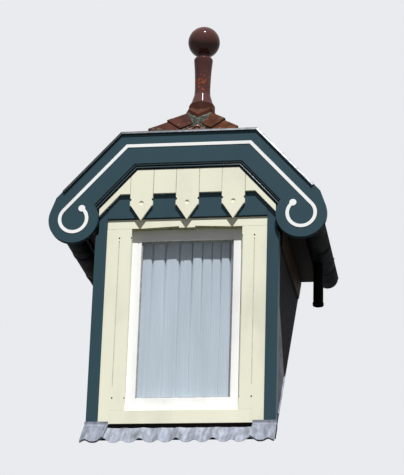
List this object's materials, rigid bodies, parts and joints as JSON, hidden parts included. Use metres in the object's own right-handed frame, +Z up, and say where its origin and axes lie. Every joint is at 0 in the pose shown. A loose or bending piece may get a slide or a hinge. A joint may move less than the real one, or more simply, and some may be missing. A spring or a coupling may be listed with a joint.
{
  "type": "dormer window",
  "caption": "Roof dormer window with a boarded front, a curtained casement, a scrolled bargeboard, a pointed valance and a half-hipped tiled roof with a ball finial.",
  "frame": {"origin": "middle of the front curb's sloping underside, on the main roof's seat plane", "axes": "+X to the right of someone who faces the window, +Y back into the main roof, +Z up"},
  "size_m": [1.822, 2.5358, 3.1382],
  "materials": {
    "teal_paint": "dark teal gloss paint on timber",
    "cream_paint": "cream gloss paint on timber",
    "white_paint": "white gloss paint on timber",
    "grey_board": "grey painted cheek board",
    "brown_board": "brown stained board",
    "sawn_timber": "sawn softwood",
    "clay_tile": "brown engobed clay tile",
    "cap_tile": "reddish brown unglazed clay cap tile",
    "glazed_clay": "brown glazed clay",
    "lead_sheet": "weathered lead and zinc sheet",
    "window_glass": "clear float glass",
    "net_fabric": "gathered white net",
    "rod_finish": "white curtain rod"
  },
  "bodies": {
    "root": {"front_curb": "sawn_timber", "corner_post_right": "teal_paint", "corner_post_left": "teal_paint", "cheek_right": "grey_board", "cheek_left": "grey_board", "frieze_board_right": "brown_board", "frieze_board_left": "brown_board", "frame_jamb_right": "cream_paint", "frame_jamb_left": "cream_paint", "frame_head": "cream_paint", "frame_sill": "cream_paint", "sash_stiles": "white_paint", "sash_rails": "white_paint", "glass_pane": "window_glass", "curtain": "net_fabric", "curtain_rod": "rod_finish", "gable_panel": "teal_paint", "pointed_valance_boards": "cream_paint", "short_valance_boards": "cream_paint", "bargeboard_top": "teal_paint", "bargeboard_right": "teal_paint", "bargeboard_left": "teal_paint", "white_band": "white_paint", "bargeboard_moulding": "teal_paint", "edge_capping": "lead_sheet", "roof_deck_right": "sawn_timber", "roof_deck_left": "sawn_timber", "roof_deck_front": "sawn_timber", "roof_tiles_right": "clay_tile", "roof_tiles_left": "clay_tile", "roof_tiles_front": "clay_tile", "rafters_right": "sawn_timber", "rafters_left": "sawn_timber", "ridge_board": "sawn_timber", "ridge_tiles": "cap_tile", "hip_tiles_right": "cap_tile", "hip_tiles_left": "cap_tile", "saddle_tile": "cap_tile", "finial_column": "glazed_clay", "finial_ball": "glazed_clay", "eave_boards_right": "brown_board", "eave_boards_left": "brown_board", "eave_gutter_right": "lead_sheet", "eave_gutter_left": "lead_sheet", "downpipe": "lead_sheet", "lead_apron": "lead_sheet", "cheek_lead_right": "lead_sheet", "cheek_lead_left": "lead_sheet", "valley_lead_right": "lead_sheet", "valley_lead_left": "lead_sheet"}
  },
  "joints": []
}
